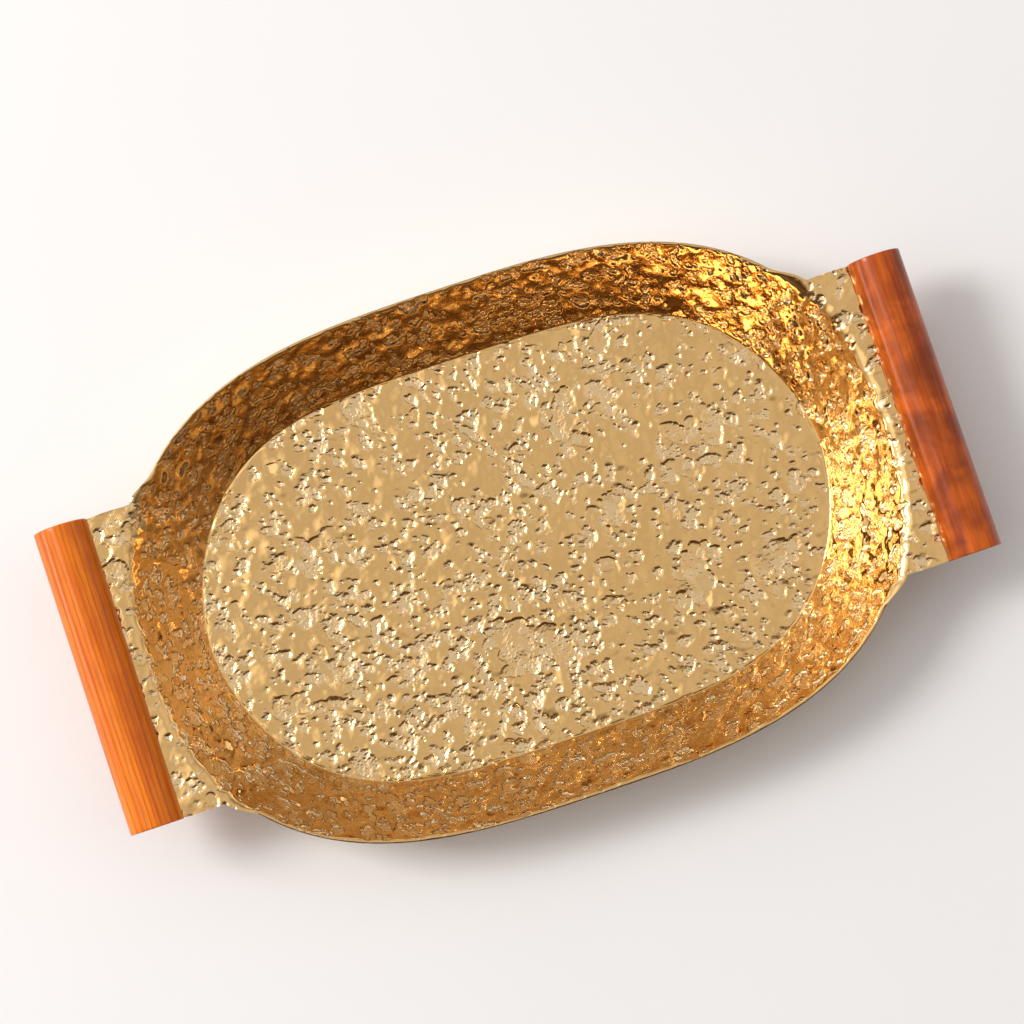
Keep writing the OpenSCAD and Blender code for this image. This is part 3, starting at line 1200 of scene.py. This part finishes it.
def stack_rings(rings: Sequence[np.ndarray], low: float, high: float) -> tuple[np.ndarray, np.ndarray]:
    """Close a stack of equal rings with a point on the Z axis at each end.

    Args:
        rings: Rings of x, y, z points from the lowest to the highest, counter-clockwise.
        low: Height of the lower point.
        high: Height of the upper point.

    Returns:
        The vertices, and triangles that face outwards.
    """
    around = len(rings[0])
    points = np.concatenate([np.array([[0.0, 0.0, low], [0.0, 0.0, high]]), *rings])
    here = np.arange(around)
    after = (here + 1) % around
    faces = [np.stack([np.zeros(around, int), 2 + after, 2 + here], axis=1)]
    for k in range(len(rings) - 1):
        below, above = 2 + k * around, 2 + (k + 1) * around
        faces.append(np.stack([below + here, below + after, above + after], axis=1))
        faces.append(np.stack([below + here, above + after, above + here], axis=1))
    top = 2 + (len(rings) - 1) * around
    faces.append(np.stack([np.ones(around, int), top + here, top + after], axis=1))
    return points, np.concatenate(faces)


def lathe(name: str, profile: Sequence[tuple[float, float]], centre: Vector, around: int = 64,
          crease: float = math.radians(35.0)) -> bpy.types.Object:
    """Turn a profile of radius and height about a vertical axis into a closed solid.

    Args:
        name: Name of the object.
        profile: Points from the lowest on the axis to the highest on the axis.
        centre: A point on the axis; heights are measured from it.
        around: Number of facets.
        crease: Angle above which an edge is shaded sharp.

    Returns:
        The new object.
    """
    angle = np.arange(around) / around * TAU
    rings = [ring(radius, z, angle) for radius, z in profile[1:-1]]
    points, faces = stack_rings(rings, profile[0][1], profile[-1][1])
    return build_mesh(name, points + np.array(centre), faces, crease)


def cut_away(piece: bpy.types.Object, cutters: Sequence[bpy.types.Object], crease: float) -> None:
    """Subtract closed solids from a piece for good and throw the cutters away.

    Args:
        piece: The piece to cut.
        cutters: The closed solids.
        crease: Angle above which an edge of the cut piece is shaded sharp.
    """
    for cutter in cutters:
        tool = piece.modifiers.new("cut", "BOOLEAN")
        tool.operation = "DIFFERENCE"
        tool.solver = "EXACT"
        tool.object = cutter
    graph = bpy.context.evaluated_depsgraph_get()
    carved = bpy.data.meshes.new_from_object(piece.evaluated_get(graph))
    piece.modifiers.clear()
    piece.data = carved
    carved.polygons.foreach_set("use_smooth", np.ones(len(carved.polygons), dtype=bool))
    carved.set_sharp_from_angle(angle=crease)
    for cutter in cutters:
        bpy.data.objects.remove(cutter)


@dataclass
class DowelHandle:
    """A turned and slotted wooden rod that takes an ear of the sheet."""

    node: str
    screws: Sequence[str]
    finish: StainedWood
    sizes: ScrewSizes
    slot_height: float = 2.2 * MM
    slot_room: float = 0.5 * MM
    ease: float = 0.6 * MM
    around: int = 150
    rows: int = 90
    bed_points: int = 9
    edge_reach: float = 0.7 * MM

    def __post_init__(self) -> None:
        """Take the dowel's place and size from its CAD nodes; the screws stand on its axis."""
        low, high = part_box(self.node)
        self.centre = (low + high) / 2.0
        self.centre.x = sum(sum(corner.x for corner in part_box(name)) for name in self.screws) / 4.0
        self.half = (high.y - low.y) / 2.0
        self.radius = (high.z - low.z) / 2.0
        self.side = math.copysign(1.0, self.centre.x)
        self.slot_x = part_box("tray_sheet")[1].x + self.slot_room - abs(self.centre.x)

    def outline(self, shrink: float) -> np.ndarray:
        """Cross-section of the slotted rod as x, z points, counter-clockwise seen from the front.

        Args:
            shrink: How far the round part is drawn in, for the eased ends.

        Returns:
            The points, for the handle at the +X end, about the rod's axis.
        """
        half = self.slot_height / 2.0
        r = self.radius - shrink
        mouth = math.pi - math.asin(half / r)
        angle = np.linspace(-mouth, mouth, self.around)
        arc = np.stack([r * np.cos(angle), r * np.sin(angle)], axis=1)
        bed = np.linspace(arc[-1, 0], self.slot_x, self.bed_points)[1:]
        upper = np.stack([bed, np.full(len(bed), half)], axis=1)
        lower = np.stack([bed[::-1], np.full(len(bed), -half)], axis=1)
        return np.concatenate([arc, upper, lower])

    def stations(self) -> list[tuple[float, float]]:
        """Places along the rod, each with how far the round part is drawn in there.

        Returns:
            The places and their shrinkages, from the front end to the rear.
        """
        turns = np.linspace(0.0, math.pi / 2.0, 6)
        ends = [(-self.half + self.ease * (1 - math.cos(a)), self.ease * (1 - math.sin(a)))
                for a in turns]
        middle = np.linspace(-self.half + self.ease, self.half - self.ease, self.rows)[1:-1]
        return ends + [(float(y), 0.0) for y in middle] + [(-y, shrink) for y, shrink in reversed(ends)]

    def build(self, shared: SharedEffects) -> bpy.types.Object:
        """Sweep the slotted section along the rod and bore the screw holes into it.

        Args:
            shared: Node groups that the finishes share.

        Returns:
            The dressed handle.
        """
        stations = self.stations()
        rings = []
        for y, shrink in stations:
            section = self.outline(shrink)
            along = np.full(len(section), y)
            rings.append(np.stack([section[:, 0] * self.side, along, section[:, 1]], axis=1))
        points = np.concatenate(rings) + np.array(self.centre) * [1.0, 0.0, 1.0]
        count = len(rings[0])
        here = np.arange(count)
        after = (here + 1) % count
        strip = np.stack([here, after, after + count, here + count], axis=1)
        quads = np.concatenate([strip + k * count for k in range(len(rings) - 1)])
        if self.side > 0:
            quads = quads[:, ::-1]
        piece = self.capped(points, quads, count)
        cutters = [self.hole(name) for name in self.screws]
        cut_away(piece, cutters, math.radians(30.0))
        self.mark_edges(piece)
        piece.data.materials.clear()
        piece.data.materials.append(self.finish.make(shared))
        return piece

    def capped(self, points: np.ndarray, quads: np.ndarray, count: int) -> bpy.types.Object:
        """Close the swept rod with its two sawn ends.

        Args:
            points: Vertices of the swept sections, one section after another.
            quads: Faces between neighbouring sections.
            count: Number of vertices in one section.

        Returns:
            The closed rod.
        """
        first = list(range(count))
        last = list(range(len(points) - count, len(points)))
        ends = [first, last[::-1]] if self.side > 0 else [first[::-1], last]
        mesh = bpy.data.meshes.new(self.node + "_dowel")
        mesh.from_pydata(points.tolist(), [], quads.tolist() + ends)
        mesh.update()
        piece = bpy.data.objects.new(self.node + "_dowel", mesh)
        bpy.context.scene.collection.objects.link(piece)
        return piece

    def hole(self, screw: str) -> bpy.types.Object:
        """Cutter for a counterbored screw hole, from below.

        Args:
            screw: Node of the screw that the hole is for.

        Returns:
            The cutter.
        """
        low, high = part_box(screw)
        middle = (low + high) / 2.0
        s = self.sizes
        seat = low.z + s.head_height
        bottom = self.centre.z - self.radius - 1.0 * MM
        shaft = s.shank + s.thread_room
        top = high.z + s.end_room
        profile = [(0.0, bottom), (s.counterbore, bottom), (s.counterbore, seat), (shaft, seat),
                   (shaft, top), (0.0, top)]
        return lathe("cutter", profile, Vector((middle.x, middle.y, 0.0)))

    def mark_edges(self, piece: bpy.types.Object) -> None:
        """Mark how near each vertex is to a sawn end, for the worn edges.

        Args:
            piece: The finished rod.
        """
        co = np.zeros(len(piece.data.vertices) * 3)
        piece.data.vertices.foreach_get("co", co)
        co = co.reshape(-1, 3)
        from_end = self.half - np.abs(co[:, 1])
        radial = np.hypot(co[:, 0] - self.centre.x, co[:, 2] - self.centre.z)
        near = np.exp((radial - self.radius - from_end) / self.edge_reach)
        set_attribute(piece, "edge", np.clip(near, 0.0, 1.0))


@dataclass
class WoodScrew:
    """A pan-head wood screw with a rolled thread and a cross recess."""

    node: str
    sizes: ScrewSizes
    around: int = 40
    rows_per_turn: int = 10

    def __post_init__(self) -> None:
        """Take the screw's place and size from its CAD node."""
        low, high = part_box(self.node)
        self.axis = (low + high) / 2.0
        self.low, self.tip = low.z, high.z
        self.head_radius = (high.x - low.x) / 2.0
        self.seat = low.z + self.sizes.head_height

    def head_profile(self) -> list[tuple[float, float]]:
        """Radius and height of the domed head, from its middle out to its seat.

        Returns:
            The profile from the lowest point up.
        """
        s = self.sizes
        turns = np.linspace(0.0, math.pi / 2.0, 9)
        corner = s.head_corner * s.head_height
        flat, edge = self.head_radius - corner, self.low + s.head_crown
        dome = [(0.5 * flat, self.low + 0.2 * s.head_crown)]
        dome += [(flat + corner * math.sin(a), edge + corner * (1 - math.cos(a))) for a in turns]
        return dome + [(self.head_radius, self.seat), (s.shank, self.seat)]

    def build(self, material: bpy.types.Material) -> bpy.types.Object:
        """Turn the head and shank, wind the thread and press the recess.

        Args:
            material: Finish of the screw.

        Returns:
            The dressed screw.
        """
        s = self.sizes
        rows = int((self.tip - self.seat) / s.pitch * self.rows_per_turn)
        angle = np.arange(self.around) / self.around * TAU
        rings = [ring(radius, z, angle) for radius, z in self.head_profile()]
        for z in np.linspace(self.seat, self.tip - 0.05 * MM, rows)[1:]:
            phase = (z / s.pitch - angle / TAU) % 1.0
            crest = np.clip(1.0 - np.abs(phase - 0.5) * 4.0, 0.0, 1.0)
            start = smoothstep(np.array((z - self.seat - s.plain_shank) / s.thread_start))
            taper = np.clip((self.tip - z) / s.point, 0.0, 1.0)
            core = s.shank - s.thread_depth * start
            rings.append(ring((core + s.thread_depth * crest * start) * taper, z, angle))
        points, faces = stack_rings(rings, self.low, self.tip)
        points = points + [self.axis.x, self.axis.y, 0.0]
        piece = build_mesh(self.node + "_threaded", points, faces, math.radians(40.0))
        cut_away(piece, [self.recess(turn) for turn in (0.0, math.pi / 2.0)], math.radians(40.0))
        piece.data.materials.clear()
        piece.data.materials.append(material)
        return piece

    def recess(self, turn: float) -> bpy.types.Object:
        """One tapered arm of the cross recess, as a cutter.

        Args:
            turn: Direction of the arm about the axis.

        Returns:
            The cutter.
        """
        s = self.sizes
        half, arm = s.recess_span / 2.0, s.recess_arm / 2.0
        low, high = self.low - 0.5 * MM, self.low + s.recess_depth
        wide = [(-half, -arm), (half, -arm), (half, arm), (-half, arm)]
        points = [(x, y, low) for x, y in wide] + [(0.45 * x, 0.7 * y, high) for x, y in wide]
        faces = [(3, 2, 1, 0), (4, 5, 6, 7), (0, 1, 5, 4), (1, 2, 6, 5), (2, 3, 7, 6), (3, 0, 4, 7)]
        mesh = bpy.data.meshes.new("cutter")
        mesh.from_pydata(points, [], faces)
        mesh.transform(Matrix.Translation((self.axis.x, self.axis.y, 0.0)) @ Matrix.Rotation(turn, 4, "Z"))
        cutter = bpy.data.objects.new("cutter", mesh)
        bpy.context.scene.collection.objects.link(cutter)
        return cutter


# ---------------------------------------------------------------- studio


def toward(aim: tuple[float, float]) -> Vector:
    """Direction at an azimuth from +X and an elevation above the floor, both in degrees."""
    turn, rise = (math.radians(angle) for angle in aim)
    return Vector((math.cos(turn) * math.cos(rise), math.sin(turn) * math.cos(rise), math.sin(rise)))


@dataclass(frozen=True)
class SoftLight:
    """A rectangular soft box that faces the tray."""

    name: str
    aim: tuple[float, float]  # azimuth and elevation
    distance: float
    size: tuple[float, float]
    radiance: float
    colour: Colour = (1.0, 0.985, 0.965)

    def build(self) -> bpy.types.Object:
        """Make the area light and aim it at the origin.

        Returns:
            The light.
        """
        lamp = bpy.data.lights.new(self.name, "AREA")
        lamp.shape = "RECTANGLE"
        lamp.size, lamp.size_y = self.size
        lamp.energy = self.radiance * math.pi * self.size[0] * self.size[1]
        lamp.color = self.colour
        light = bpy.data.objects.new(self.name, lamp)
        way = toward(self.aim)
        light.location = way * self.distance
        light.rotation_euler = (-way).to_track_quat("-Z", "Y").to_euler()
        bpy.context.scene.collection.objects.link(light)
        return light


@dataclass(frozen=True)
class Glow:
    """A soft brightening of the surroundings around one direction."""

    aim: tuple[float, float]  # azimuth and elevation
    rim: float  # cosine of the angle from the aim at which it starts
    core: float  # cosine of the angle within which it is full
    colour: Colour


@dataclass
class Studio:
    """Pale floor, soft light and the camera that looks down at the tray."""

    aim: tuple[float, float] = (3.0 * MM, 16.6 * MM)
    distance: float = 1456.5 * MM
    turn: float = math.radians(-24.14)
    tilt: float = math.radians(4.48)
    spin: float = math.radians(5.63)
    lens: float = 105.5
    floor_half: float = 2.5
    floor_gap: float = 0.2 * MM
    ceiling_glow: Colour = (0.64, 0.64, 0.64)
    wall_glow: Colour = (0.40, 0.39, 0.38)
    front_glow: Colour = (0.13, 0.11, 0.10)
    skirt_glow: Colour = (0.85, 0.83, 0.81)
    dark_glow: Colour = (0.09, 0.055, 0.035)
    dark_azimuth: float = -92.0
    key: SoftLight = SoftLight("key", (150.0, 45.0), 3.5, (1.1, 1.1), 16.0)
    window: SoftLight = SoftLight("window", (165.0, 11.5), 3.2, (1.4, 0.6), 5.5)
    glows: tuple[Glow, ...] = (
        Glow((150.0, 45.0), 0.74, 0.97, (0.65, 0.65, 0.65)),
        Glow((-8.0, 32.0), 0.70, 0.97, (0.18, 0.175, 0.17)),
    )

    def camera(self) -> bpy.types.Object:
        """Hang the camera over the tray.

        Returns:
            The camera.
        """
        lens = bpy.data.cameras.new("camera")
        lens.lens = self.lens
        lens.sensor_width = 36.0
        camera = bpy.data.objects.new("camera", lens)
        rotation = (Matrix.Rotation(self.turn, 4, "Z") @ Matrix.Rotation(self.tilt, 4, "X")
                    @ Matrix.Rotation(self.spin, 4, "Z"))
        back = rotation.to_3x3().col[2]
        place = Vector((*self.aim, 0.0)) + back * self.distance
        camera.matrix_world = Matrix.Translation(place) @ rotation
        bpy.context.scene.collection.objects.link(camera)
        bpy.context.scene.camera = camera
        return camera

    def floor(self) -> bpy.types.Object:
        """Lay the plain pale floor just under the tray.

        Returns:
            The floor.
        """
        h, z = self.floor_half, -self.floor_gap
        corners = np.array([[-h, -h, z], [h, -h, z], [h, h, z], [-h, h, z]])
        piece = build_mesh("floor", corners, np.array([[0, 1, 2, 3]]), math.pi)
        material, sheet, shader = new_material("pale_floor")
        place = sheet.add("TexCoord").outputs["Object"]
        cloud = sheet.add("TexNoise", {"Vector": place, "Scale": 6.0, "Detail": 2.0}).outputs["Fac"]
        colour = sheet.mix(cloud, (0.90, 0.885, 0.88), (0.93, 0.915, 0.91))
        sheet.tree.links.new(colour, shader.inputs["Base Color"])
        shader.inputs["Roughness"].default_value = 0.55
        piece.data.materials.append(material)
        return piece

    def room(self) -> None:
        """Soft surroundings: a pale ceiling, dimmer walls and a dark side in front."""
        world = bpy.data.worlds.new("room")
        bpy.context.scene.world = world
        world.use_nodes = True
        sheet = NodeSheet(world.node_tree)
        back = world.node_tree.nodes["Background"]
        way = sheet.add("TexCoord").outputs["Generated"]
        parts = sheet.add("SeparateXYZ", {"Vector": way})
        up = parts.outputs["Z"]
        turn = math.radians(self.dark_azimuth)
        ahead = sheet.math("ADD", sheet.math("MULTIPLY", parts.outputs["X"], math.cos(turn)),
                           sheet.math("MULTIPLY", parts.outputs["Y"], math.sin(turn)))
        above = sheet.mix(sheet.span(up, 0.45, 0.9), self.wall_glow, self.ceiling_glow)
        front = sheet.mix(sheet.span(up, 0.25, 0.6), self.front_glow, self.dark_glow)
        sides = sheet.mix(sheet.span(ahead, 0.08, 0.46), above, front)
        skirt = sheet.math("MULTIPLY", sheet.span(up, 0.28, 0.40, 1.0, 0.0),
                           sheet.span(ahead, -0.6, 0.2, 1.0, 0.0))
        light = sheet.mix(skirt, sides, self.skirt_glow)
        clutter = sheet.add("TexNoise", {"Vector": way, "Scale": 2.6, "Detail": 2.0}).outputs["Fac"]
        blotch = sheet.math("MULTIPLY", sheet.span(clutter, 0.38, 0.62, -1.0, 1.0),
                            sheet.span(up, 0.35, 0.85, 0.4, 0.05))
        light = sheet.mix(1.0, light, sheet.math("ADD", blotch, 1.0), blend="MULTIPLY")
        for glow in self.glows:
            aim = {"0": way, "1": tuple(toward(glow.aim))}
            near = sheet.add("VectorMath", aim, operation="DOT_PRODUCT").outputs["Value"]
            lit = sheet.mix(sheet.span(near, glow.rim, glow.core), (0.0, 0.0, 0.0), glow.colour)
            light = sheet.mix(1.0, light, lit, blend="ADD")
        sheet.tree.links.new(light, back.inputs["Color"])
        back.inputs["Strength"].default_value = 1.0

    def grade(self) -> None:
        """Show colours as they are lit."""
        bpy.context.scene.view_settings.view_transform = "Standard"
        bpy.context.scene.view_settings.look = "None"
        bpy.context.scene.view_settings.exposure = 0.13

    def build(self) -> None:
        """Set the whole stage."""
        self.camera()
        self.floor()
        self.room()
        self.key.build()
        self.window.build()
        self.grade()


# ---------------------------------------------------------------- the whole tray

LEFT_WOOD = StainedWood("left_wood", (0.95, 0.24, 0.008), (0.78, 0.165, 0.006), (0.36, 0.052, 0.003),
                        Figure.STRAIGHT, 0.35)
RIGHT_WOOD = StainedWood("right_wood", (0.72, 0.135, 0.004), (0.48, 0.074, 0.003), (0.14, 0.017, 0.002),
                         Figure.MOTTLED, 1.9, pith=(0.05, -0.07))


def place_piece(piece: bpy.types.Object, node: str) -> None:
    """Tie a piece to the tray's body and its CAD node.

    Args:
        piece: The finished piece.
        node: CAD node that it stands for.
    """
    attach(piece, "root")
    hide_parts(node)
    log.info("%s: %d vertices, %d faces", piece.name, len(piece.data.vertices), len(piece.data.polygons))


def main() -> None:
    """Build every piece of the tray and the stage it stands on."""
    logging.basicConfig(level=logging.INFO, format="%(name)s: %(message)s")
    shared = SharedEffects(make_smudges(), make_edge_wear(), make_fine_dents())
    Studio().build()
    tray = PressedSheet(Relief()).build()
    tray.data.materials.append(PolishedBrass().make(shared))
    place_piece(tray, "tray_sheet")
    sizes = ScrewSizes()
    zinc = ZincPlate().make(shared)
    for side, wood in (("left", LEFT_WOOD), ("right", RIGHT_WOOD)):
        screws = [f"{side}_{end}_screw" for end in ("front", "rear")]
        handle = DowelHandle(f"{side}_handle", screws, wood, sizes).build(shared)
        place_piece(handle, f"{side}_handle")
        for name in screws:
            place_piece(WoodScrew(name, sizes).build(zinc), name)


if __name__ == "__main__":
    main()
